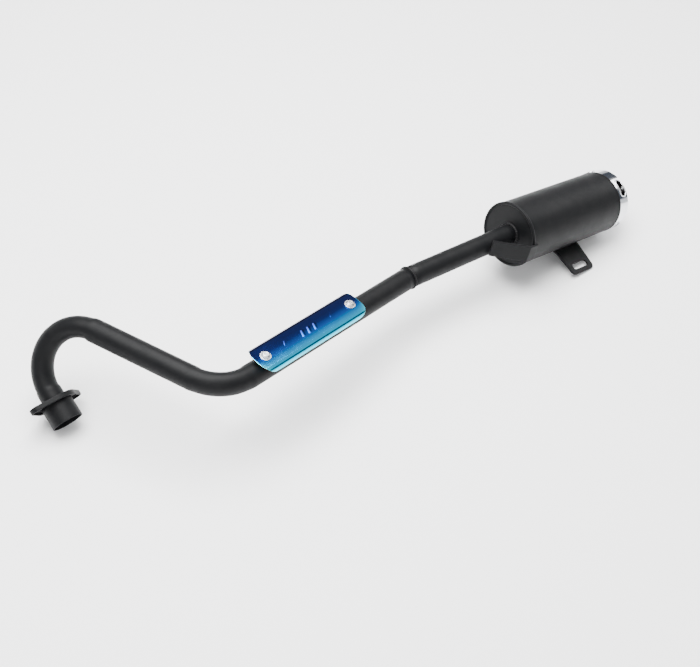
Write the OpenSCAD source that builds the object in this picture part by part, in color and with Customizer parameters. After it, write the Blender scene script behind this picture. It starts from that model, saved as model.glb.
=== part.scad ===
// Racing exhaust for a small single-cylinder engine: a bent header pipe with a
// heat shield, and a packed canister muffler with a vented cover over its tip.
// Millimetres. The origin is the centre of the inlet mouth, +Z is up as the
// exhaust lies on a bench, and +X runs along its length.
// Every piece is placed along the gas path: each at_ module carries its
// children to one station, with local +Z pointing the way the gas flows.

/* [Pipe] */
// Outside diameter of the pipe
pipe_d = 28; // [24:0.5:30]
// Wall thickness of the pipe
pipe_wall = 1.5; // [1:0.1:2.5]
// Run from the inlet mouth to the first bend
inlet_run = 40.7; // [36:0.1:60]
// Centre-line radius of the first bend
bend1_r = 49; // [44:0.1:70]
// Turn of the first bend, in degrees
bend1_angle = 146.6; // [140:0.1:160]
// Straight run between the two bends
upper_run = 129.8; // [120:1:160]
// Roll of the second bend's plane about the pipe, in degrees
bend2_roll = 121.6; // [100:0.5:140]
// Centre-line radius of the second bend
bend2_r = 51.7; // [44:0.1:70]
// Turn of the second bend, in degrees
bend2_angle = 73.9; // [60:0.1:90]
// Straight run under the heat shield, up to the mitre
shield_run = 278.6; // [240:0.1:320]
// Roll of the mitre's plane about the pipe, in degrees
mitre_roll = -198.9; // [-220:0.1:-180]
// Kink at the mitred joint, in degrees
mitre_angle = 11.5; // [4:0.1:20]
// Run from the mitre to the muffler's front cap
tail_run = 172.7; // [150:0.1:220]

/* [Inlet] */
// Outside diameter of the inlet sleeve
sleeve_d = 37; // [36:0.1:40]
// Bore of the inlet sleeve, which slips over the port
sleeve_bore = 33.8; // [31:0.1:34]
// Length of the inlet sleeve
sleeve_len = 25.5; // [20:0.5:30]
// Depth of the sleeve's bore, down to the pipe's end
sleeve_depth = 15; // [10:0.5:18]
// Distance between the flange's two stud holes
stud_pitch = 58; // [54:1:62]
// Diameter of the stud holes
stud_hole_d = 8.5; // [6.5:0.1:9]
// Angle of the flange about the inlet as it lies, in degrees
flange_angle = 77; // [0:0.5:180]

/* [Heat shield] */
// Length of the heat shield
shield_len = 168; // [150:1:190]
// Width of the heat shield across its flanks
shield_w = 39.4; // [36:0.1:46]
// Height of the shield's outer face above the pipe's axis
shield_h = 20.3; // [19:0.1:24]
// Start of the shield along its straight run
shield_start = 7.6; // [4:0.1:40]
// Roll of the shield about the pipe, in degrees
shield_roll = 94.6; // [0:0.1:180]
// Distance between the shield's two screws
shield_pitch = 139.8; // [120:0.5:142]

/* [Muffler] */
// Outside diameter of the canister
can_d = 87; // [80:0.5:100]
// Length of the canister
can_len = 191.6; // [150:0.5:240]
// Roll of the canister's kick plane about the tail pipe, in degrees
can_plane = 131.8; // [100:0.1:160]
// Angle between the tail pipe and the canister's axis, in degrees
can_kick = 8.1; // [0:0.1:10]
// Roll that sets the canister's bracket level, in degrees
can_roll = -113.9; // [-140:0.1:-100]
// Length of the cover's wall behind the canister
cover_len = 18; // [14:0.5:24]
// Number of windows around the cover
cover_windows = 4; // [3:1:6]
// Outside diameter of the tail tip
tip_d = 43.4; // [40:0.1:50]
// Distance from the canister's rear rim to the end of the tip
tip_reach = 43.8; // [45:0.1:70]

/* [Bracket] */
// Drop of the bracket plate below the canister's axis
bracket_drop = 26.5; // [20:0.1:34]
// Reach of the bracket plate from the canister's axis
bracket_reach = 81.5; // [70:0.1:90]
// Width of the bracket plate
bracket_w = 46; // [44:1:60]
// Distance from the front cap to the middle of the bracket
bracket_at = 114; // [80:1:120]
// Tilt of the bracket plate below level, in degrees
bracket_tilt = 21; // [0:1:40]
// Thickness of the bracket and of the strap
plate_t = 3; // [2:0.5:4]
// Length of the bracket's slot, end to end
slot_len = 30; // [20:1:32]
// Width of the bracket's slot
slot_w = 9; // [8.5:0.5:10.5]
// Distance from the bracket's outer edge to the slot's middle
slot_in = 11.5; // [9:0.5:14]

/* [Resting pose] */
// Compass heading of the inlet's axis, in degrees
rest_heading = 102.73; // [0:0.01:360]
// Lean of the inlet's axis from upright, in degrees
rest_lean = 61.57; // [0:0.01:90]
// Spin of the whole exhaust about the inlet's axis, in degrees
rest_spin = -138.37; // [-180:0.01:180]

/* [Hidden] */
$fn = 96;
eps = 0.05;          // overshoot of a cut past the face it leaves
far = 60;            // longer than any cut has to be
pipe_r = pipe_d/2;
bore_r = pipe_r - pipe_wall;
can_r = can_d/2;
tip_r = tip_d/2;

// Header and inlet
bend_draw = 0.3;     // how much the pipe's radius is drawn in by bending
mitre_trim = 3;      // extra pipe that the mitre cut removes
tail_plug = 5;       // length of tail pipe inside the front cap
sleeve_r = sleeve_d/2;
flange_t = 3.2;       // thickness of the flange plate
flange_lip = 2.6;     // height of its rim above the plate
flange_lip_w = 2.4;  // width of its rim
flange_at = 26.5;    // front face of the flange plate
flange_mid_r = 24.5; // radius of the flange around the pipe
flange_end_r = 9;    // radius of the flange around each stud
flange_bore_r = pipe_r + 0.6;

// Heat shield, with local +X pointing out through the shield
shield_t = 1.2;      // thickness of the shield's sheet
shield_low = 13;     // height of its free edges above the pipe's axis
shield_bend_r = 7;   // bend radius of its long corners
shield_end_r = 17;   // radius of the corners at its ends
screw_r = 3;         // M6
boss_r = 5.5;
washer_r = 6.6;
washer_t = 1;
head_r = 5.3;
head_h = 3.2;
front_screw = shield_start + (shield_len - shield_pitch)/2;
rear_screw = front_screw + shield_pitch;
badge_h = 0.5;       // height of the embossed bars

// Muffler, with local +Z running rearwards from the front cap
shell_t = 1.25;
bead_r = 2.1;        // radius of the front cap's rolled bead
bead_out = 1.2;      // how far the bead stands proud of the canister
rim_w = 2.4;         // width of the black rim at the rear
rim_out = 0.3;
plate_in = 6;        // depth of the rear plate inside the rim
core_at = 8;         // start of the core behind the front cap
core_r = bore_r + 0.5;
core_t = 1;
hole_r = 1.8;        // holes of the perforated core
hole_rows = 9;
cover_r = can_r - 0.2;
cover_t = 1.2;
cover_cone = 7;      // rise of the cover's end face
ring_r = 23.6;       // radius of the ring at the base of the tip
ring_h = 3;
window_w = 10;      // width of a cover window along the axis
window_len = 25;     // length of a cover window across the axis, end to end
window_at = 10.5;    // distance of the windows' centres behind the canister
window_first = 32.5; // turn of the first window from level, in degrees
cover_screws_n = 3;
screw_first = -56;   // turn of the first screw from level, in degrees
screw_circle = 32;   // radius of the cover's screw circle
post_r = 4;
small_screw_r = 2;   // M4
small_head_r = 4;
small_head_h = 3.8;
small_seat = 21.3;   // underside of the cover screws' heads, before they are trimmed to the cover
outlet_r = 12.5;     // outside radius of the outlet pipe in the tip
outlet_short = 8;    // how far the outlet pipe stops inside the tip
tip_t = 1.5;
lip_r = 1.3;         // radius of the tip's rolled lip

// Strap from the tail pipe to the canister's side
strap_w = 23;
strap_foot = 4;       // length of its foot along the canister
strap_front = 11;    // distance of its bend ahead of the front cap
strap_pipe = 49;     // distance of its pipe end ahead of the front cap
strap_shift = -2.5;    // offset of the strap above the canister's axis

black = [0.13, 0.13, 0.14];
chrome = [0.86, 0.87, 0.89];
blue = [0.08, 0.22, 0.55];

// ---- Stations along the gas path ----

module lay_down()
    rotate([0, 0, rest_heading]) rotate([0, rest_lean, 0]) rotate([0, 0, rest_spin]) children();

// Carries children round a bend that turns towards local +X
module past_bend(r, angle)
    translate([r*(1 - cos(angle)), 0, r*sin(angle)]) rotate([0, angle, 0]) children();

module at_bend1() translate([0, 0, inlet_run]) children();
module at_upper() at_bend1() past_bend(bend1_r, bend1_angle) children();
module at_bend2() at_upper() translate([0, 0, upper_run]) rotate([0, 0, bend2_roll]) children();
module at_lower() at_bend2() past_bend(bend2_r, bend2_angle) children();
module at_mitre() at_lower() translate([0, 0, shield_run]) rotate([0, 0, mitre_roll]) children();
module at_tail() at_mitre() rotate([0, mitre_angle, 0]) children();
module at_can() lay_down() at_tail() translate([0, 0, tail_run])
    rotate([0, 0, can_plane]) rotate([0, can_kick, 0]) rotate([0, 0, can_roll]) children();
module at_rear() at_can() translate([0, 0, can_len]) children();
module at_shield() lay_down() at_lower() rotate([0, 0, shield_roll]) children();

// Turns children's +Z to point outwards along +X, at height z along the axis
module outward(z) translate([0, 0, z]) rotate([0, 90, 0]) children();

// ---- Shared shapes ----

module tube(r, t, h) difference() {
    cylinder(r = r, h = h);
    translate([0, 0, -eps]) cylinder(r = r - t, h = h + 2*eps);
}

// Bend of the pipe that starts at the local origin along +Z and turns towards local +X
module elbow(r, angle)
    translate([r, 0, 0]) rotate([90, 0, 180]) rotate_extrude(angle = angle)
        translate([r, 0]) difference() {
            circle(pipe_r - bend_draw);
            circle(bore_r - bend_draw);
        }

// Block that lies wholly behind (side = -1) or ahead (side = 1) of the mitre
module mitre_side(side)
    at_mitre() rotate([0, mitre_angle/2, 0])
        translate([-far/2, -far/2, side > 0 ? 0 : -far]) cube(far);

// Thin disc of the flange's outline: a round middle drawn out to the two studs
module flange_blank(inset, h) hull() {
    cylinder(r = flange_mid_r - inset, h = h);
    for (side = [-1, 1]) translate([side*stud_pitch/2, 0, 0]) cylinder(r = flange_end_r - inset, h = h);
}

// Channel section of the shield, with its rounded back towards +X
module arch(top, half, r, low) {
    translate([low, -half]) square([top - r - low, 2*half]);
    translate([low, r - half]) square([top - low, 2*(half - r)]);
    for (side = [-1, 1]) translate([top - r, side*(half - r)]) circle(r);
}

// Plan of the shield, with rounded corners, as a solid deep enough to trim it
module shield_plan() rotate([0, 90, 0]) linear_extrude(shield_h)
    translate([-shield_start - shield_len, 0]) {
        translate([0, shield_end_r - shield_w/2]) square([shield_len, shield_w - 2*shield_end_r]);
        translate([shield_end_r, -shield_w/2]) square([shield_len - 2*shield_end_r, shield_w]);
        for (x = [shield_end_r, shield_len - shield_end_r], side = [-1, 1])
            translate([x, side*(shield_w/2 - shield_end_r)]) circle(shield_end_r);
    }

module pan_head(r, h, shank_r, shank_l, socket) difference() {
    union() {
        cylinder(r = r, h = h*0.45);
        translate([0, 0, h*0.45]) cylinder(r1 = r, r2 = r*0.62, h = h*0.55);
        translate([0, 0, -shank_l]) cylinder(r = shank_r, h = shank_l + eps);
    }
    translate([0, 0, h*0.35]) cylinder(r = socket, h = h, $fn = 6);
}

module around(count, first) for (i = [0 : count - 1]) rotate([0, 0, first + i*360/count]) children();

// Oblong cutter that points out along local +X, with round ends and its length across
module window(length, w) rotate([0, 90, 0]) translate([0, 0, ring_r]) linear_extrude(far) {
    translate([-w/2, (w - length)/2]) square([w, length - w]);
    for (side = [-1, 1]) translate([0, side*(length - w)/2]) circle(d = w);
}

// ---- Header ----

module header_pipe() color(black) lay_down() {
    translate([0, 0, sleeve_depth]) tube(pipe_r, pipe_wall, inlet_run - sleeve_depth);
    at_bend1() elbow(bend1_r, bend1_angle);
    at_upper() tube(pipe_r, pipe_wall, upper_run);
    at_bend2() elbow(bend2_r, bend2_angle);
    difference() {
        at_lower() tube(pipe_r, pipe_wall, shield_run + mitre_trim);
        mitre_side(1);
    }
}

module inlet_sleeve() color(black) lay_down() difference() {
    cylinder(r = sleeve_r, h = sleeve_len);
    translate([0, 0, -eps]) cylinder(d = sleeve_bore, h = sleeve_depth + eps);
    cylinder(r = pipe_r, h = sleeve_len + eps);
}

module port_flange() color(black) lay_down() rotate([0, 0, flange_angle]) difference() {
    translate([0, 0, flange_at - flange_lip]) flange_blank(0, flange_t + flange_lip);
    translate([0, 0, flange_at - flange_lip - eps]) flange_blank(flange_lip_w, flange_lip + eps);
    cylinder(r = flange_bore_r, h = far);
    for (side = [-1, 1]) translate([side*stud_pitch/2, 0, 0]) cylinder(d = stud_hole_d, h = far);
}

module tail_pipe() color(black) lay_down() difference() {
    at_tail() translate([0, 0, -mitre_trim]) tube(pipe_r, pipe_wall, mitre_trim + tail_run + tail_plug);
    mitre_side(-1);
}

// ---- Heat shield and its fixings ----

module shield_boss(z) color(black) at_shield() difference() {
    outward(z) cylinder(r = boss_r, h = shield_h - shield_t);
    cylinder(r = pipe_r, h = 2*shield_len);
    outward(z) cylinder(r = screw_r, h = far);
}
module shield_boss_front() shield_boss(front_screw);
module shield_boss_rear() shield_boss(rear_screw);

module heat_shield() color(blue) at_shield() difference() {
    union() {
        intersection() {
            difference() {
                linear_extrude(shield_start + shield_len) arch(shield_h, shield_w/2, shield_bend_r, shield_low);
                translate([0, 0, -1]) linear_extrude(shield_start + shield_len + 2)
                    arch(shield_h - shield_t, shield_w/2 - shield_t, shield_bend_r - shield_t, 0);
            }
            shield_plan();
        }
        for (i = [-1 : 1]) outward(shield_start + shield_len/2 + 10*i) rotate([0, 0, 25])
            translate([-1.6, -5, shield_h - eps]) cube([3.2, 10, badge_h + eps]);
    }
    for (z = [front_screw, rear_screw]) outward(z) cylinder(r = screw_r + 0.3, h = far);
}

module shield_washer(z) color(chrome) at_shield() outward(z) translate([0, 0, shield_h]) difference() {
    cylinder(r = washer_r, h = washer_t);
    translate([0, 0, -eps]) cylinder(r = screw_r + 0.2, h = washer_t + 2*eps);
}
module shield_washer_front() shield_washer(front_screw);
module shield_washer_rear() shield_washer(rear_screw);

module shield_screw(z) color(chrome) at_shield() outward(z) translate([0, 0, shield_h + washer_t])
    pan_head(head_r, head_h, screw_r - 0.05, shield_h + washer_t - pipe_r - 1, 2);
module shield_screw_front() shield_screw(front_screw);
module shield_screw_rear() shield_screw(rear_screw);

// ---- Canister ----

module canister_shell() color(black) at_can() {
    translate([0, 0, 2*bead_r]) tube(can_r, shell_t, can_len - 2*bead_r - rim_w);
    translate([0, 0, can_len - rim_w]) tube(can_r + rim_out, shell_t + rim_out, rim_w);
}

module front_cap() color(black) at_can() difference() {
    union() {
        translate([0, 0, bead_r - 0.6]) cylinder(r = can_r + bead_out - bead_r, h = 1.2);
        rotate_extrude() translate([can_r + bead_out - bead_r, bead_r]) circle(bead_r);
    }
    tail_hole();
}

// The space of the tail pipe, seen from the canister
module tail_hole() rotate([0, 0, -can_roll]) rotate([0, -can_kick, 0])
    translate([0, 0, -far]) cylinder(r = pipe_r, h = far + tail_plug + 1);

module perforated_core() color("gray") at_can() difference() {
    translate([0, 0, core_at]) tube(core_r + core_t, core_t, can_len - plate_in - core_at);
    for (row = [0 : hole_rows - 1]) translate([0, 0, 24 + row*18]) rotate([0, 0, row*30])
        for (turn = [0, 60, 120]) rotate([0, 90, turn]) translate([0, 0, -far/2]) cylinder(r = hole_r, h = far);
}

module packing() color("wheat") at_can() translate([0, 0, core_at])
    tube(can_r - shell_t - 0.2, can_r - shell_t - core_r - core_t - 0.4, can_len - plate_in - core_at - 1);

module rear_plate() color(black) at_rear() translate([0, 0, -plate_in]) difference() {
    cylinder(r = can_r - shell_t, h = 2);
    translate([0, 0, -eps]) cylinder(r = outlet_r, h = 2 + 2*eps);
}

module outlet_pipe() color(black) at_rear() translate([0, 0, -plate_in])
    tube(outlet_r, pipe_wall, plate_in + tip_reach - outlet_short);

module cover_posts() color("silver") at_rear() around(cover_screws_n, screw_first)
    translate([screw_circle, 0, 2 - plate_in])
    difference() {
        cylinder(r = post_r, h = plate_in - 2 + cover_len + 1);
        translate([0, 0, eps + 4]) cylinder(r = small_screw_r, h = far);
    }

// Cup with an outer wall, a raised end face and a hole for the tip
module tail_cover() color(chrome) at_rear() difference() {
    rotate_extrude() polygon([[cover_r, 0], [cover_r, cover_len], [cover_r - 2, cover_len + 2],
        [ring_r, cover_len + cover_cone], [tip_r - tip_t, cover_len + cover_cone],
        [tip_r - tip_t, cover_len + cover_cone - cover_t], [ring_r, cover_len + cover_cone - cover_t],
        [cover_r - 2 - cover_t, cover_len + 2 - cover_t], [cover_r - cover_t, cover_len - cover_t],
        [cover_r - cover_t, 0]]);
    around(cover_windows, window_first) translate([0, 0, window_at]) window(window_len, window_w);
    around(cover_screws_n, screw_first) translate([screw_circle, 0, 0]) cylinder(r = small_screw_r + 0.2, h = far);
}

// Screws whose heads are bedded on the slope of the cover
module cover_screws() color("silver") at_rear() around(cover_screws_n, screw_first) {
    difference() {
        translate([screw_circle, 0, small_seat]) pan_head(small_head_r, small_head_h, small_screw_r, 0, 1.6);
        rotate_extrude() polygon([[tip_r, 0], [cover_r, 0], [cover_r, cover_len], [cover_r - 2, cover_len + 2],
            [ring_r, cover_len + cover_cone], [tip_r, cover_len + cover_cone]]);
    }
    translate([screw_circle, 0, small_seat - 10]) cylinder(r = small_screw_r - 0.05, h = 11.2);
}

module tip_ring() color(chrome) at_rear() translate([0, 0, cover_len + cover_cone])
    tube(ring_r, ring_r - tip_r, ring_h);

module tail_tip() color(chrome) at_rear() {
    translate([0, 0, cover_len + cover_cone]) tube(tip_r, tip_t, tip_reach - cover_len - cover_cone - lip_r);
    rotate_extrude() translate([tip_r - tip_t/2, tip_reach - lip_r]) circle(lip_r);
}

// ---- Brackets ----

module hanger_bracket() color(black) at_can() difference() {
    rotate([0, 0, bracket_tilt]) translate([0, bracket_drop, bracket_at]) rotate([90, 0, 0])
        translate([0, 0, -plate_t/2]) difference() {
            bracket_plate(plate_t);
            for (side = [-1, 1]) translate([bracket_reach - slot_in, side*(slot_len - slot_w)/2, -eps])
                cylinder(d = slot_w, h = plate_t + 2*eps);
            translate([bracket_reach - slot_in - slot_w/2, (slot_w - slot_len)/2, -eps])
                cube([slot_w, slot_len - slot_w, plate_t + 2*eps]);
        }
    cylinder(r = can_r, h = can_len);
}

// Plate with two rounded outer corners, flared where it meets the canister
module bracket_plate(t) {
    corner = 7;
    half = bracket_w/2;
    reach = bracket_reach - corner;
    for (side = [-1, 1]) translate([reach, side*(half - corner), 0]) cylinder(r = corner, h = t);
    translate([reach - eps, corner - half, 0]) cube([corner + eps, bracket_w - 2*corner, t]);
    linear_extrude(t) polygon([[far/2, -half - 8], [far/2 + 12, -half - 3], [reach - 6, -half],
        [reach, -half], [reach, half], [far/2, half]]);
}

module tail_strap() color(black) at_can() translate([0, strap_shift - strap_w/2, 0]) difference() {
    rotate([-90, 0, 0]) linear_extrude(strap_w) strap_profile();
    translate([0, strap_w/2 - strap_shift, 0]) cylinder(r = can_r, h = far);
    translate([0, strap_w/2 - strap_shift, 0]) tail_hole();
    translate([0, strap_w/2 - strap_shift, 0])
        rotate_extrude() translate([can_r + bead_out - bead_r, bead_r]) circle(bead_r);
}

// Side view of the strap: a foot on the canister and a slanted leg down to the pipe
module strap_profile() {
    foot_x = can_r + bead_out;
    leg_x = pipe_r - 2;
    polygon([[foot_x, -strap_foot], [foot_x + plate_t, -strap_foot], [foot_x + plate_t, strap_front],
        [leg_x + plate_t, strap_pipe + 2], [leg_x, strap_pipe - 1], [foot_x - 1, strap_front - 1], [foot_x, strap_front - 3]]);
}

header_pipe();
inlet_sleeve();
port_flange();
tail_pipe();
shield_boss_front();
shield_boss_rear();
heat_shield();
shield_washer_front();
shield_washer_rear();
shield_screw_front();
shield_screw_rear();
canister_shell();
front_cap();
perforated_core();
packing();
rear_plate();
outlet_pipe();
cover_posts();
tail_cover();
cover_screws();
tip_ring();
tail_tip();
hanger_bracket();
tail_strap();
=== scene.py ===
# %% [markdown]
# # A racing exhaust, piece by piece
# The exhaust of a small single-cylinder racing engine: a press-bent steel header with a blue
# heat shield, a loose flange that bolts it to the port, and a packed round muffler with a vented
# chrome cover and tip. The CAD model already fixes every size and place, so this lesson only
# adds what a maker's hands and the paint shop add: flattened bends, rolled edges, weld beads and
# finishes. It starts by loading that model as a frame which never moves.

import bpy
import bmesh
import math
import numpy as np
from mathutils import Matrix, Vector


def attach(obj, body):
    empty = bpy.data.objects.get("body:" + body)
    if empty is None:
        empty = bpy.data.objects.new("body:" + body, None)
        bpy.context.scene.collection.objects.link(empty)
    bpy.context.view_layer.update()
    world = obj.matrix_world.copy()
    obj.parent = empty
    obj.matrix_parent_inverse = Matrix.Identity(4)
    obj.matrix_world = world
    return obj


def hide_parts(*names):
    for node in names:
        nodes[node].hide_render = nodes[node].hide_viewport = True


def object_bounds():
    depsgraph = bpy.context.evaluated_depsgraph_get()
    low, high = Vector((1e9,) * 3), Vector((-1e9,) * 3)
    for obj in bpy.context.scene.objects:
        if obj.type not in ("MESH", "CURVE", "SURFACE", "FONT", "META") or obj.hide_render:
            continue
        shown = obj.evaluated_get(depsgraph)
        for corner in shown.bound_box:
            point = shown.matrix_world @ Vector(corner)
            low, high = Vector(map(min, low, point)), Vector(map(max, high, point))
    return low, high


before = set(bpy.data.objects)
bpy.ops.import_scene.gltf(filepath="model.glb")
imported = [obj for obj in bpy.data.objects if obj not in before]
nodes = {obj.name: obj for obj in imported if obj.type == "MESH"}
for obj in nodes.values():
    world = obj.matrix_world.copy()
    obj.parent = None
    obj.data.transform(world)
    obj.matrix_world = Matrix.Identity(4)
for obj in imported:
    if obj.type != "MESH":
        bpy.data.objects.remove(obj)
cad_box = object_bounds()
MM = 0.001
print("nodes:", len(nodes), "size in mm:", [round((b - a) / MM, 1) for a, b in zip(*cad_box)])

# %% [markdown]
# ## Stations along the gas path
# A pipe is easiest to describe by walking along it: so far straight, then a bend, then a roll of
# the bending plane. Each station is a 4 by 4 matrix whose Z axis is the way the gas flows and
# whose X axis is the way the next bend turns. The lengths are the same as in the CAD model.

# %% Stations
def turn(axis, degrees):
    """A turn about one axis by the right-hand rule."""
    return np.array(Matrix.Rotation(math.radians(degrees), 4, axis))


def shift(x, y, z):
    """A straight move in millimetres."""
    return np.array(Matrix.Translation((x, y, z)))


def past_bend(radius, degrees):
    """The far end of a bend: a point on a circle of that radius, and the same turn."""
    a = math.radians(degrees)
    return shift(radius * (1 - math.cos(a)), 0, radius * math.sin(a)) @ turn("Y", degrees)


PIPE_R, BORE_R = 14.0, 12.5
INLET_RUN, UPPER_RUN, SHIELD_RUN, TAIL_RUN = 40.7, 129.8, 278.6, 172.7
BEND1_R, BEND1_TURN, BEND2_R, BEND2_TURN, BEND2_ROLL = 49.0, 146.6, 51.7, 73.9, 121.6
MITRE_TURN, CAN_R, CAN_LEN = 11.5, 43.5, 191.6
SHIELD_ROLL, MITRE_ROLL, CAN_PLANE, CAN_KICK, CAN_ROLL = 94.6, -198.9, 131.8, 8.1, -113.9
REST_HEADING, REST_LEAN, REST_SPIN = 102.73, 61.57, -138.37

at_inlet = turn("Z", REST_HEADING) @ turn("Y", REST_LEAN) @ turn("Z", REST_SPIN)
at_bend1 = at_inlet @ shift(0, 0, INLET_RUN)
at_upper = at_bend1 @ past_bend(BEND1_R, BEND1_TURN)
at_bend2 = at_upper @ shift(0, 0, UPPER_RUN) @ turn("Z", BEND2_ROLL)
at_lower = at_bend2 @ past_bend(BEND2_R, BEND2_TURN)
at_shield = at_lower @ turn("Z", SHIELD_ROLL)
at_mitre = at_lower @ shift(0, 0, SHIELD_RUN) @ turn("Z", MITRE_ROLL)
at_tail = at_mitre @ turn("Y", MITRE_TURN)
at_can = at_tail @ shift(0, 0, TAIL_RUN) @ turn("Z", CAN_PLANE) @ turn("Y", CAN_KICK) @ turn("Z", CAN_ROLL)
at_rear = at_can @ shift(0, 0, CAN_LEN)
print("mitre at", at_mitre[:3, 3].round(1), "canister from", at_can[:3, 3].round(1))


def carried(points, station):
    """Points in millimetres at a station, carried into the shared frame."""
    return points @ station[:3, :3].T + station[:3, 3]


# %% [markdown]
# ## From a grid of points to a mesh
# Every new piece is a grid: rows run along it and columns run round it, and neighbours are
# joined by four-sided faces. A tube wall is a grid that is closed both ways, out along the
# outside and back along the inside, so it needs no caps. The helper also looks at the signed
# volume, and turns the faces over if they point inwards.

# %% Mesh helper
def skin(name, grid, finish, close_rows=True, cap_ends=False):
    """Faces join point (i, j) to (i+1, j), (i+1, j+1) and (i, j+1). Columns always close round."""
    rows, cols = grid.shape[:2]
    index = np.arange(rows * cols).reshape(rows, cols)
    right = np.roll(index, -1, axis=1)
    if close_rows:
        nxt, nxt_right = np.roll(index, -1, axis=0), np.roll(right, -1, axis=0)
    else:
        index, right, nxt, nxt_right = index[:-1], right[:-1], index[1:], right[1:]
    quads = np.stack([index, nxt, nxt_right, right], axis=-1).reshape(-1, 4)
    points = grid.reshape(-1, 3)
    a, b, c, d = (points[quads[:, k]] for k in range(4))
    volume = np.einsum("ij,ij->i", a, np.cross(b, c)).sum() + np.einsum("ij,ij->i", a, np.cross(c, d)).sum()
    faces = [list(q) for q in quads.tolist()]
    if cap_ends:
        faces += [list(range(cols)), list(range(rows * cols - 1, rows * cols - cols - 1, -1))]
    if volume < 0:
        faces = [f[::-1] for f in faces]
    mesh = bpy.data.meshes.new(name)
    mesh.from_pydata((points * MM).tolist(), [], faces)
    mesh.polygons.foreach_set("use_smooth", [len(f) == 4 for f in faces])
    mesh.materials.append(finish)
    piece = bpy.data.objects.new(name, mesh)
    bpy.context.scene.collection.objects.link(piece)
    return piece


# %% [markdown]
# ## Shared effects
# Paint, plate and raw steel all have fine grain, a little dust where they face up, and worn
# edges. Each of those is a node group, built once, so that one change reaches every finish.
# Groups only give masks and heights: the shader itself stays in each material.

# %% Node group builder
def effect(name, numbers, outputs):
    """An empty node group with number inputs, Object coordinates inside, and number outputs."""
    group = bpy.data.node_groups.new(name, "ShaderNodeTree")
    for label, value in numbers.items():
        group.interface.new_socket(label, in_out="INPUT", socket_type="NodeSocketFloat").default_value = value
    for label in outputs:
        group.interface.new_socket(label, in_out="OUTPUT", socket_type="NodeSocketFloat")
    return group, group.nodes.new("NodeGroupInput"), group.nodes.new("NodeGroupOutput")


def node(tree, kind, inputs=None, **settings):
    """Adds one node, sets its properties, then its inputs: a value is stored and a socket is linked."""
    made = tree.nodes.new(kind)
    for key, value in settings.items():
        setattr(made, key, value)
    for key, value in (inputs or {}).items():
        if isinstance(value, bpy.types.NodeSocket):
            tree.links.new(value, made.inputs[key])
        else:
            made.inputs[key].default_value = value
    return made


# %% Grain: two sizes of noise, as a height and as a roughness change
grain, given, out = effect("fine_grain", {"Scale": 900.0, "Low": 0.3, "High": 0.5}, ["Height", "Roughness"])
place = node(grain, "ShaderNodeTexCoord").outputs["Object"]
fine = node(grain, "ShaderNodeTexNoise", {"Vector": place, "Scale": given.outputs["Scale"], "Detail": 3.0})
broad = node(grain, "ShaderNodeTexNoise", {"Vector": place, "Scale": 38.0, "Detail": 4.0, "Roughness": 0.6})
both = node(grain, "ShaderNodeMath", {0: fine.outputs["Fac"], 1: broad.outputs["Fac"]}, operation="ADD")
spread = node(grain, "ShaderNodeMapRange", {"Value": both.outputs[0], "From Min": 0.7, "From Max": 1.3,
                                            "To Min": given.outputs["Low"], "To Max": given.outputs["High"]})
grain.links.new(fine.outputs["Fac"], out.inputs["Height"])
grain.links.new(spread.outputs["Result"], out.inputs["Roughness"])

# %% Dust: a mask that is strong on faces that look up and broken up by noise
dust, given, out = effect("settled_dust", {"Amount": 0.3, "Scale": 60.0}, ["Mask"])
place = node(dust, "ShaderNodeTexCoord").outputs["Object"]
facing = node(dust, "ShaderNodeSeparateXYZ", {0: node(dust, "ShaderNodeNewGeometry").outputs["Normal"]})
upward = node(dust, "ShaderNodeMapRange", {"Value": facing.outputs["Z"], "From Min": 0.2, "From Max": 1.0})
specks = node(dust, "ShaderNodeTexNoise", {"Vector": place, "Scale": given.outputs["Scale"],
                                           "Detail": 8.0, "Roughness": 0.7})
patchy = node(dust, "ShaderNodeMapRange", {"Value": specks.outputs["Fac"], "From Min": 0.42, "From Max": 0.75})
mixed = node(dust, "ShaderNodeMath", {0: upward.outputs[0], 1: patchy.outputs[0]}, operation="MULTIPLY")
scaled = node(dust, "ShaderNodeMath", {0: mixed.outputs[0], 1: given.outputs["Amount"]}, operation="MULTIPLY")
dust.links.new(scaled.outputs[0], out.inputs["Mask"])

# %% Wear: a mask on sharp convex edges, broken up by noise
wear, given, out = effect("edge_wear", {"Amount": 0.5, "Scale": 300.0}, ["Mask"])
place = node(wear, "ShaderNodeTexCoord").outputs["Object"]
sharp = node(wear, "ShaderNodeMapRange", {"Value": node(wear, "ShaderNodeNewGeometry").outputs["Pointiness"],
                                          "From Min": 0.53, "From Max": 0.62})
chips = node(wear, "ShaderNodeTexNoise", {"Vector": place, "Scale": given.outputs["Scale"], "Detail": 5.0})
broken = node(wear, "ShaderNodeMapRange", {"Value": chips.outputs["Fac"], "From Min": 0.4, "From Max": 0.65})
mixed = node(wear, "ShaderNodeMath", {0: sharp.outputs[0], 1: broken.outputs[0]}, operation="MULTIPLY")
scaled = node(wear, "ShaderNodeMath", {0: mixed.outputs[0], 1: given.outputs["Amount"]}, operation="MULTIPLY")
wear.links.new(scaled.outputs[0], out.inputs["Mask"])
print("effects:", [g.name for g in bpy.data.node_groups])

# %% [markdown]
# ## Finishes
# The pipe and the canister are sprayed satin black over steel, so the finish is a dark coat with
# a fine orange peel and a soft highlight. Chrome and zinc are metals told apart by roughness.
# One helper sets up a material with grain, dust and wear, and each finish gives its own values.

# %% Material helper
BARE_STEEL, DUST_COLOR, RELIEF = (0.35, 0.34, 0.33, 1), (0.33, 0.31, 0.28, 1), 0.0004


def used(tree, group, inputs):
    """Places a node group in a material with its own values."""
    placed = tree.nodes.new("ShaderNodeGroup")
    placed.node_tree = group
    for key, value in inputs.items():
        placed.inputs[key].default_value = value
    return placed


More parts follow.
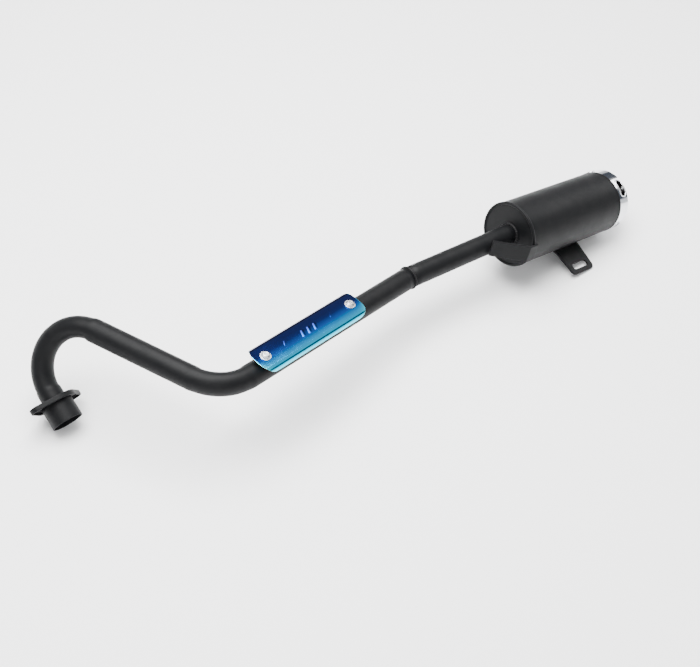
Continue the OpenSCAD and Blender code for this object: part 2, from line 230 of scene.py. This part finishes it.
def finish(name, color, metallic, rough, peel, bump, dusty, worn=0.0, gloss=0.5):
    """A surface whose colour drifts a little, with grain as roughness and bump, dust and worn edges."""
    made = bpy.data.materials.new(name)
    made.use_nodes = True
    tree = made.node_tree
    shader = tree.nodes["Principled BSDF"]
    texture = used(tree, grain, {"Scale": peel, "Low": rough[0], "High": rough[1]})
    drift = node(tree, "ShaderNodeTexNoise", {"Vector": node(tree, "ShaderNodeTexCoord").outputs["Object"],
                                              "Scale": 21.0, "Detail": 3.0})
    base = node(tree, "ShaderNodeMix", {0: drift.outputs["Fac"]}, data_type="RGBA")
    base.inputs["A"].default_value = (*color, 1)
    base.inputs["B"].default_value = (*(c * 1.35 for c in color), 1)
    settled = used(tree, dust, {"Amount": dusty})
    dusted = node(tree, "ShaderNodeMix", {0: settled.outputs["Mask"]}, data_type="RGBA")
    tree.links.new(base.outputs["Result"], dusted.inputs["A"])
    dusted.inputs["B"].default_value = DUST_COLOR
    rubbed = used(tree, wear, {"Amount": worn})
    bare = node(tree, "ShaderNodeMix", {0: rubbed.outputs["Mask"]}, data_type="RGBA")
    tree.links.new(dusted.outputs["Result"], bare.inputs["A"])
    bare.inputs["B"].default_value = BARE_STEEL
    tree.links.new(bare.outputs["Result"], shader.inputs["Base Color"])
    tree.links.new(texture.outputs["Roughness"], shader.inputs["Roughness"])
    relief = node(tree, "ShaderNodeBump", {"Strength": bump, "Distance": RELIEF,
                                           "Height": texture.outputs["Height"]})
    tree.links.new(relief.outputs["Normal"], shader.inputs["Normal"])
    shader.inputs["Metallic"].default_value = metallic
    shader.inputs["Specular IOR Level"].default_value = gloss
    return made


# %% The finishes of this exhaust
satin_black = finish("satin_black_paint", (0.0025, 0.0027, 0.0032), 0.0, (0.44, 0.58),
                     peel=1300.0, bump=0.2, dusty=0.01, gloss=0.13)
weld_black = finish("painted_weld", (0.003, 0.003, 0.0036), 0.0, (0.42, 0.6),
                    peel=700.0, bump=0.4, dusty=0.015, worn=0.05, gloss=0.15)
mirror_chrome = finish("mirror_chrome", (0.68, 0.69, 0.71), 1.0, (0.04, 0.11), peel=260.0, bump=0.02, dusty=0.03)
zinc_plate = finish("bright_zinc", (0.70, 0.71, 0.73), 1.0, (0.16, 0.28), peel=800.0, bump=0.06, dusty=0.05)
plain_steel = finish("plain_stainless", (0.42, 0.41, 0.40), 1.0, (0.28, 0.42), peel=600.0, bump=0.1, dusty=0.05)
sooty_steel = finish("sooty_steel", (0.09, 0.085, 0.08), 0.8, (0.38, 0.62), peel=500.0, bump=0.2, dusty=0.1)
glass_wool = finish("glass_wool", (0.72, 0.66, 0.50), 0.0, (0.8, 0.95), peel=420.0, bump=0.9, dusty=0.0)
print("finishes:", [m.name for m in bpy.data.materials if m.use_nodes])

# %% Finishes on the CAD pieces that already have their true shape
painted = ["canister_shell", "front_cap", "rear_plate", "shield_boss_front", "shield_boss_rear"]
finishes = {**{name: satin_black for name in painted}, "perforated_core": plain_steel, "packing": glass_wool,
            "cover_posts": plain_steel, "outlet_pipe": sooty_steel}
for name, coat_of in finishes.items():
    nodes[name].data.materials.clear()
    nodes[name].data.materials.append(coat_of)
print("finished in place:", sorted(finishes))

# %% [markdown]
# ## The press-bent header
# The real header is one tube bent round a former in a press. Its wall can't stretch evenly, so
# the pipe flattens in the plane of each bend and shows a faint step where the former began. A
# curve with a round bevel can't flatten, so the tube is a grid: a circle carried along the path,
# squeezed along each bend's own plane, out along the outside and back along the inside.

# %% Header
SLEEVE_DEPTH, FORMER_EASE = 15.0, 7.0
BEND1_SQUEEZE, BEND2_SQUEEZE = 0.105, 0.07


def squeeze(amount, z, length):
    """Rises over FORMER_EASE at each end of the bend by 3e^2 - 2e^3, and is full between."""
    ends = np.clip(np.minimum(z, length - z) / FORMER_EASE, 0, 1)
    return amount * ends * ends * (3 - 2 * ends)


def bend_rings(start, radius, degrees, roll, amount, count):
    """Rings round one bend, squeezed in its plane."""
    rings, length = [], math.radians(degrees) * radius
    for turned in np.linspace(0, degrees, count):
        z = math.radians(turned) * radius
        rings.append((start @ past_bend(radius, turned), roll, squeeze(amount, z, length)))
    return rings


def straight_rings(start, places, roll=0.0):
    """Rings on a straight, at these distances from its start."""
    return [(start @ shift(0, 0, z), roll, 0.0) for z in places]


def header_rings():
    """Rings along the path: station, roll of its X axis since the start, and squeeze in the bend's plane."""
    rings = straight_rings(at_inlet, np.linspace(SLEEVE_DEPTH, INLET_RUN - 0.5, 5))
    rings += bend_rings(at_bend1, BEND1_R, BEND1_TURN, 0.0, BEND1_SQUEEZE, 90)
    rings += straight_rings(at_upper, np.linspace(1, UPPER_RUN - 1, 12))
    rings += bend_rings(at_bend2, BEND2_R, BEND2_TURN, BEND2_ROLL, BEND2_SQUEEZE, 50)
    rings += straight_rings(at_lower, np.linspace(1, SHIELD_RUN, 24), BEND2_ROLL)
    return rings


def header_wall(radius, rings, around):
    """Ring point = station + radius * (squeezed cosine along X + sine along Y), at the carried angle."""
    grid = []
    for station, roll, flat in rings:
        angle = around - math.radians(roll)
        x, y = radius * (1 - flat) * np.cos(angle), radius * np.sin(angle)
        grid.append(carried(np.stack([x, y, np.zeros_like(angle)], axis=-1), station))
    return np.array(grid)


around = np.linspace(0, 2 * math.pi, 72, endpoint=False)
rings = header_rings()
outside, inside = header_wall(PIPE_R - 0.02, rings, around), header_wall(BORE_R, rings, around)
cut_normal = (at_mitre @ turn("Y", MITRE_TURN / 2))[:3, 2]
flow = at_lower[:3, 2]
for wall in (outside, inside):
    wall[-1] += ((at_mitre[:3, 3] - wall[-1]) @ cut_normal / (flow @ cut_normal))[:, None] * flow
header = skin("header_pipe_bent", np.concatenate([outside, inside[::-1]]), satin_black)
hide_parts("header_pipe")
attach(header, "exhaust")
print("header:", len(header.data.polygons), "faces over", len(rings), "rings")

# %% [markdown]
# ## The tail pipe
# The tail pipe is a straight length of the same tube. Its front end is cut to meet the header at
# half the kink's angle, which a saw does on the real one, so every point of the first ring is
# slid along the pipe until it lies on the plane of the cut.

# %% Tail pipe
TAIL_IN_CAP = 5.0
stretch = straight_rings(at_tail, np.linspace(0, TAIL_RUN + TAIL_IN_CAP, 16))
tail_out, tail_in = header_wall(PIPE_R - 0.02, stretch, around), header_wall(BORE_R, stretch, around)
tail_flow = at_tail[:3, 2]
for wall in (tail_out, tail_in):
    wall[0] += ((at_mitre[:3, 3] - wall[0]) @ cut_normal / (tail_flow @ cut_normal))[:, None] * tail_flow
tail = skin("tail_pipe_straight", np.concatenate([tail_out, tail_in[::-1]]), satin_black)
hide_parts("tail_pipe")
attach(tail, "exhaust")
print("tail pipe:", len(tail.data.polygons), "faces")

# %% [markdown]
# ## Weld beads
# A hand weld is a row of overlapping puddles, like a stack of coins pushed over. Each bead here
# is a thin tube along the joint whose radius swells once per puddle, with a little unevenness
# from seeded noise. A closed joint makes a ring, and an open one tapers away at its ends.

# %% Bead helper
chance = np.random.default_rng(7)


def bead(name, path, radius, closed=True, puddle=2.2):
    """Tube round the path: its radius is `radius` times one plus a rounded ripple, once every puddle."""
    count = len(path)
    ahead, behind = np.roll(path, -1, axis=0), np.roll(path, 1, axis=0)
    if not closed:
        ahead[-1], behind[0] = path[-1], path[0]
    flow = ahead - behind
    flow /= np.linalg.norm(flow, axis=1)[:, None]
    middle = path.mean(axis=0)
    away = path - middle if closed else np.tile(np.array([0.3, 0.2, 1.0]), (count, 1))
    side = np.cross(flow, away)
    side /= np.linalg.norm(side, axis=1)[:, None]
    rise = np.cross(side, flow)
    steps = np.linalg.norm(np.diff(path, axis=0), axis=1)
    run = np.concatenate([[0], np.cumsum(steps)])
    total = run[-1] + (np.linalg.norm(path[0] - path[-1]) if closed else 0)
    puddles = max(3, round(total / puddle))
    ripple = 0.86 + 0.2 * np.abs(np.sin(math.pi * puddles * run / total)) + 0.03 * chance.standard_normal(count)
    size = radius * ripple
    if not closed:
        end = np.clip(np.minimum(run, total - run) / (1.5 * radius), 0.02, 1)
        size = size * np.sqrt(end * (2 - end))
    round_it = np.linspace(0, 2 * math.pi, 12, endpoint=False)
    grid = path[:, None] + size[:, None, None] * (np.cos(round_it)[None, :, None] * side[:, None]
                                                  + np.sin(round_it)[None, :, None] * rise[:, None])
    piece = skin(name, grid, weld_black, close_rows=closed, cap_ends=not closed)
    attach(piece, "exhaust")
    return piece


# %% The joints that were welded
loop = np.linspace(0, 2 * math.pi, 200, endpoint=False)
circle = np.stack([np.cos(loop), np.sin(loop), np.zeros_like(loop)], axis=-1)
mitre_ring = carried(circle * PIPE_R, at_lower @ shift(0, 0, SHIELD_RUN))
mitre_ring += ((at_mitre[:3, 3] - mitre_ring) @ cut_normal / (flow @ cut_normal))[:, None] * flow
bead("weld_mitre", mitre_ring, 1.5)

cap_front, can_axis, tail_axis = carried(np.array([0, 0, 1.3]), at_can), at_can[:3, 2], at_tail[:3, 2]
cap_ring = carried(circle * (PIPE_R + 0.4), at_tail @ shift(0, 0, TAIL_RUN))
cap_ring += ((cap_front - cap_ring) @ can_axis / (tail_axis @ can_axis))[:, None] * tail_axis
bead("weld_front_cap", cap_ring, 2.3, puddle=2.8)

FRONT_SCREW, SCREW_PITCH, BOSS_WELD_R = 21.7, 139.8, 5.4
for end, z in (("front", FRONT_SCREW), ("rear", FRONT_SCREW + SCREW_PITCH)):
    across = BOSS_WELD_R * np.sin(loop)
    ring = np.stack([np.sqrt(PIPE_R**2 - across**2) - 0.1, across, z + BOSS_WELD_R * np.cos(loop)], axis=-1)
    bead("weld_boss_" + end, carried(ring, at_shield), 0.9, puddle=1.6)

TILT, DROP, BRACKET_AT, BRACKET_HALF = 21.0, 26.5, 114.0, 23.0
at_bracket = at_can @ turn("Z", TILT)
along = np.linspace(-BRACKET_HALF - 6, BRACKET_HALF - 1, 120)
for face, v in (("outer", DROP + 1.7), ("inner", DROP - 1.7)):
    out = math.sqrt(CAN_R**2 - v**2) - 0.1
    line = np.stack([np.full_like(along, out), np.full_like(along, v), BRACKET_AT + along], axis=-1)
    bead("weld_bracket_" + face, carried(line, at_bracket), 1.7, closed=False, puddle=2.6)

across = np.linspace(-13.6, 8.6, 90)
foot = np.stack([np.full_like(across, CAN_R + 1.4), across, np.full_like(across, 4.0)], axis=-1)
bead("weld_strap_foot", carried(foot, at_can), 1.6, closed=False)

# %% [markdown]
# ## Pressed and turned pieces with eased edges
# Nothing that has been pressed, filed or plated has a knife edge, and it is the thin highlight
# on a rounded edge that makes it look real. The CAD shapes of these pieces are right apart from
# that, so each one is a merged copy of its CAD mesh with a narrow Bevel modifier.

# %% Eased copies
def eased(name, width, coat_of, body="exhaust", angle=28):
    """A merged copy of a CAD node with its crisp edges rounded over `width` millimetres."""
    mesh = nodes[name].data.copy()
    shape = bmesh.new()
    shape.from_mesh(mesh)
    bmesh.ops.remove_doubles(shape, verts=shape.verts, dist=2e-6)
    bmesh.ops.dissolve_limit(shape, angle_limit=math.radians(0.8), verts=shape.verts, edges=shape.edges)
    shape.to_mesh(mesh)
    shape.free()
    mesh.materials.clear()
    mesh.materials.append(coat_of)
    mesh.polygons.foreach_set("use_smooth", [True] * len(mesh.polygons))
    piece = bpy.data.objects.new(name + "_eased", mesh)
    bpy.context.scene.collection.objects.link(piece)
    rounding = piece.modifiers.new("Eased edges", "BEVEL")
    rounding.width, rounding.segments, rounding.limit_method = width * MM, 3, "ANGLE"
    rounding.angle_limit, rounding.use_clamp_overlap = math.radians(angle), True
    piece.modifiers.new("Even shading", "WEIGHTED_NORMAL").keep_sharp = False
    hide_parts(name)
    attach(piece, body)
    return piece


eased("port_flange", 0.9, satin_black, "flange")
eased("inlet_sleeve", 0.5, satin_black)
eased("hanger_bracket", 0.6, satin_black)
eased("tail_strap", 0.6, satin_black)
eased("tail_cover", 0.45, mirror_chrome)
eased("tip_ring", 0.6, mirror_chrome)
eased("tail_tip", 0.3, mirror_chrome)
for end in ("front", "rear"):
    eased("shield_washer_" + end, 0.25, zinc_plate)
    eased("shield_screw_" + end, 0.35, zinc_plate, angle=20)
eased("cover_screws", 0.3, zinc_plate, angle=20)

# %% [markdown]
# ## Lips round the cover's windows
# Each window of the chrome cover is punched and then flared outwards, which stiffens it and
# gives it a bright rim. A flat outline of two half circles and two straight sides is wrapped
# round the cover: its length becomes an angle and its width stays along the axis.

# %% Window lips
WINDOW_LEN, WINDOW_W, WINDOW_AT, WINDOW_FIRST, COVER_R = 25.0, 10.0, 10.5, 32.5, 43.3
LIP_R, LIP_WIDER = 0.95, 0.8


def oblong(length, width, count):
    """Points round two half circles of the same width joined by straight sides."""
    straight, half = length - width, width / 2
    s = np.linspace(0, 2 * straight + 2 * math.pi * half, count, endpoint=False)
    arc = math.pi * half
    x = np.select([s < straight, s < straight + arc, s < 2 * straight + arc],
                  [s - straight / 2, straight / 2 + half * np.sin((s - straight) / half),
                   straight * 1.5 + arc - s],
                  -straight / 2 - half * np.sin((s - 2 * straight - arc) / half))
    y = np.select([s < straight, s < straight + arc, s < 2 * straight + arc],
                  [np.full_like(s, -half), -half * np.cos((s - straight) / half), np.full_like(s, half)],
                  half * np.cos((s - 2 * straight - arc) / half))
    return x, y


x, y = oblong(WINDOW_LEN + LIP_WIDER, WINDOW_W + LIP_WIDER, 120)
swing = np.arcsin(np.clip(x / COVER_R, -1, 1))
ring_angle = np.linspace(0, 2 * math.pi, 12, endpoint=False)
for k in range(4):
    turned = swing + math.radians(WINDOW_FIRST + 90 * k)
    middle = np.stack([COVER_R * np.cos(turned), COVER_R * np.sin(turned), WINDOW_AT + y], axis=-1)
    outward = np.stack([np.cos(turned), np.sin(turned), np.zeros_like(turned)], axis=-1)
    along = np.roll(middle, -1, axis=0) - np.roll(middle, 1, axis=0)
    along /= np.linalg.norm(along, axis=1)[:, None]
    beside = np.cross(along, outward)
    lip = middle[:, None] + LIP_R * (np.cos(ring_angle)[None, :, None] * outward[:, None]
                                     + np.sin(ring_angle)[None, :, None] * beside[:, None])
    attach(skin("window_lip_%d" % k, carried(lip, at_rear), mirror_chrome), "exhaust")
print("window lips: 4 of", len(x), "rings")

# %% [markdown]
# ## The heat shield
# The shield is one strip of sheet, folded down on both sides with a generous bend, cut with
# round corners and pressed with three slanted bars. Its blue is painted darkest on one side and
# runs to a bright turquoise on one flank, a painted reflection of the studio light, so the colour
# follows an attribute that holds how far across the sheet a point is, with a painted highlight as a
# light rim at the cut edge. The surface is a grid: along the shield, and round its folded section.

# %% Blue finish, with painted reflection and a painted highlight
blue = bpy.data.materials.new("blue_painted_sheen")
blue.use_nodes = True
tree = blue.node_tree
shader = tree.nodes["Principled BSDF"]
# The colour is painted light. The ramp runs from navy on the far side to turquoise on the lit flank as a painted
# reflection, and ends in pale cyan at the cut edge as a painted highlight.
painted_sheen = node(tree, "ShaderNodeAttribute", attribute_name="painted_sheen").outputs["Fac"]
shade = node(tree, "ShaderNodeValToRGB", {"Fac": painted_sheen})
ramp = shade.color_ramp
ramp.elements[0].position, ramp.elements[0].color = 0.2, (0.005, 0.007, 0.045, 1)
ramp.elements[1].position, ramp.elements[1].color = 0.98, (0.45, 0.95, 0.98, 1)
for where, tone in ((0.40, (0.004, 0.014, 0.10, 1)), (0.55, (0.003, 0.07, 0.32, 1)),
                    (0.70, (0.004, 0.27, 0.56, 1)), (0.92, (0.01, 0.56, 0.74, 1))):
    ramp.elements.new(where).color = tone
texture = used(tree, grain, {"Scale": 500.0, "Low": 0.10, "High": 0.2})
tree.links.new(shade.outputs["Color"], shader.inputs["Base Color"])
tree.links.new(texture.outputs["Roughness"], shader.inputs["Roughness"])
relief = node(tree, "ShaderNodeBump", {"Strength": 0.03, "Distance": RELIEF, "Height": texture.outputs["Height"]})
tree.links.new(relief.outputs["Normal"], shader.inputs["Normal"])
shader.inputs["Metallic"].default_value = 1.0
shader.inputs["Coat Weight"].default_value = 0.1
shader.inputs["Coat Roughness"].default_value = 0.08

# %% Shield surface
SHIELD_LEN, SHIELD_AT, SHIELD_TOP, SHIELD_HALF = 168.0, 7.6, 20.3, 19.7
SHEET, FOLD_R, SHIELD_LOW = 1.2, 7.0, 13.0
END_ALONG, END_ACROSS = 18.0, 19.0
BAR_PITCH, BAR_SLANT, TICK_AT = 10, 25, 38


def folded(along_section, top, half, fold):
    """Section of the shield by arc length from the middle of the top: flat, quarter bend, then flank."""
    s = np.abs(along_section)
    flat, quarter = half - fold, fold * math.pi / 2
    bend = np.clip(s - flat, 0, quarter) / fold
    out = top - fold * (1 - np.cos(bend)) - np.clip(s - flat - quarter, 0, None)
    wide = np.minimum(s, flat) + fold * np.sin(bend)
    return out, np.sign(along_section) * wide


def pressed(along, across, half_along, half_across, soft, high):
    """Height of a bar pressed out of the sheet: full inside a rectangle, and falling as 1 - d^2 outside."""
    far = np.hypot(np.maximum(np.abs(along) - half_along, 0), np.maximum(np.abs(across) - half_across, 0))
    return high * (1 - np.clip(far / soft, 0, 1) ** 2)


def shield_wall(inset, n_along=260, n_round=121):
    """Rows along the shield; each row reaches down to the free edge, which rises at the round ends."""
    u = np.linspace(0, 1, n_along)
    u = u - 0.12 * np.sin(2 * math.pi * u) / math.pi
    z = SHIELD_LEN * u
    to_end = np.clip(END_ALONG - np.minimum(z, SHIELD_LEN - z), 0, END_ALONG) / END_ALONG
    rise = END_ACROSS * (1 - np.sqrt(np.maximum(1 - to_end**2, 0)))
    fold, top, half = FOLD_R - inset, SHIELD_TOP - inset, SHIELD_HALF - inset
    reach = (half - fold) + fold * math.pi / 2 + (top - fold - SHIELD_LOW) - rise
    t = np.linspace(-1, 1, n_round)
    out, wide = folded(reach[:, None] * t[None, :], top, half, fold)
    zz = np.repeat(z[:, None], n_round, axis=1)
    bars = np.zeros_like(out)
    c, s = math.cos(math.radians(BAR_SLANT)), math.sin(math.radians(BAR_SLANT))
    for i in (-1, 0, 1):
        x, y = zz - SHIELD_LEN / 2 - BAR_PITCH * i, wide
        bars = np.maximum(bars, pressed(x * c + y * s, -x * s + y * c, 0.9, 4.4, 0.9, 0.48))
    for side in (-1, 1):
        x, y = zz - SHIELD_LEN / 2 - TICK_AT * side, wide + 2
        bars = np.maximum(bars, pressed(x * 0.8 + y * 0.6, y * 0.8 - x * 0.6, 0.2, 3, 0.7, 0.2))
    out = out + np.where(np.abs(wide) < 12, bars, 0)
    # The value stored per point is painted light. It rises across the sheet for a painted reflection, and reaches
    # 1 within about a millimetre of the cut edge for a painted highlight.
    to_rim = np.minimum(reach[:, None] * (1 - np.abs(t)[None, :]), np.minimum(zz, SHIELD_LEN - zz))
    down = np.maximum(0.45 + 0.48 * t[None, :], 1 - np.clip(to_rim - 0.2, 0, 0.7))
    return np.stack([out, wide, zz + SHIELD_AT], axis=-1), down


(top_wall, top_down), (under_wall, under_down) = shield_wall(0.0), shield_wall(SHEET)
section = np.concatenate([top_wall, under_wall[:, ::-1]], axis=1)
tone = np.concatenate([top_down, under_down[:, ::-1]], axis=1)
shield = skin("heat_shield_folded", carried(section, at_shield), blue,
              close_rows=False, cap_ends=True)
# Stores the painted reflection and painted highlight value on each point of the shield.
shield.data.attributes.new("painted_sheen", "FLOAT", "POINT").data.foreach_set("value", tone.reshape(-1))
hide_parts("heat_shield")
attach(shield, "exhaust")
print("shield:", len(shield.data.polygons), "faces")

# %% [markdown]
# ## Floor, light and camera
# A pale floor, a large soft light overhead and a dimmer one from the front give the long clean
# highlights that black paint and chrome need. The camera looks down at the exhaust from the
# side of the canister's hanger.

# %% Floor
low = min(v[2] for v in cad_box)
span = np.linspace(-4.5, 4.5, 2)
xx, yy = np.meshgrid(span, span, indexing="ij")
corners = np.stack([xx.ravel() + 0.4, yy.ravel(), np.full(4, low - 0.0002)], axis=-1)
floor_mesh = bpy.data.meshes.new("floor")
floor_mesh.from_pydata(corners.tolist(), [], [(0, 2, 3, 1)])
floor = bpy.data.objects.new("floor", floor_mesh)
bpy.context.scene.collection.objects.link(floor)
pale = bpy.data.materials.new("pale_floor")
pale.use_nodes = True
pale.node_tree.nodes["Principled BSDF"].inputs["Base Color"].default_value = (0.96, 0.96, 0.963, 1)
pale.node_tree.nodes["Principled BSDF"].inputs["Roughness"].default_value = 0.75
floor_mesh.materials.append(pale)


# %% Lights
def soft_light(name, where, aim, width, depth, power):
    """A rectangular area light that faces a point."""
    data = bpy.data.lights.new(name, "AREA")
    data.shape, data.size, data.size_y, data.energy = "RECTANGLE", width, depth, power
    lamp = bpy.data.objects.new(name, data)
    lamp.location = where
    back = Vector(where) - Vector(aim)
    lamp.rotation_mode = "QUATERNION"
    lamp.rotation_quaternion = back.to_track_quat("Z", "Y")
    bpy.context.scene.collection.objects.link(lamp)


soft_light("overhead", (0.2, 0.35, 1.9), (0.42, 0.0, 0.0), 2.2, 1.4, 165)
soft_light("front", (-0.9, -1.9, 1.1), (0.42, 0.0, 0.05), 1.2, 0.8, 14)
soft_light("right", (2.2, 0.3, 0.9), (0.5, 0.0, 0.05), 0.7, 0.9, 10)
world = bpy.data.worlds.new("studio")
world.use_nodes = True
sky = world.node_tree
up = node(sky, "ShaderNodeSeparateXYZ", {0: node(sky, "ShaderNodeTexCoord").outputs["Generated"]}).outputs["Z"]
panels = node(sky, "ShaderNodeValToRGB", {"Fac": up})
panels.color_ramp.elements[0].position, panels.color_ramp.elements[0].color = 0.0, (0.9, 0.92, 0.95, 1)
panels.color_ramp.elements[1].position, panels.color_ramp.elements[1].color = 1.0, (1.0, 1.0, 1.0, 1)
for where, tone in ((0.10, (0.9, 0.92, 0.95, 1)), (0.16, (0.06, 0.07, 0.09, 1)),
                    (0.42, (0.10, 0.11, 0.13, 1)), (0.5, (1.0, 1.0, 1.0, 1))):
    panels.color_ramp.elements.new(where).color = tone
sky.links.new(panels.outputs["Color"], sky.nodes["Background"].inputs["Color"])
sky.nodes["Background"].inputs["Strength"].default_value = 1.2
bpy.context.scene.world = world

# %% Camera
camera_data = bpy.data.cameras.new("camera")
camera_data.lens, camera_data.sensor_width = 55.5, 36.0
camera_data.clip_start, camera_data.clip_end = 0.05, 30.0
camera = bpy.data.objects.new("camera", camera_data)
camera.location = (-0.1764, -0.8027, 0.9789)
camera.rotation_euler = [math.radians(a) for a in (44.26, -5.19, -28.97)]
bpy.context.scene.collection.objects.link(camera)
bpy.context.scene.camera = camera
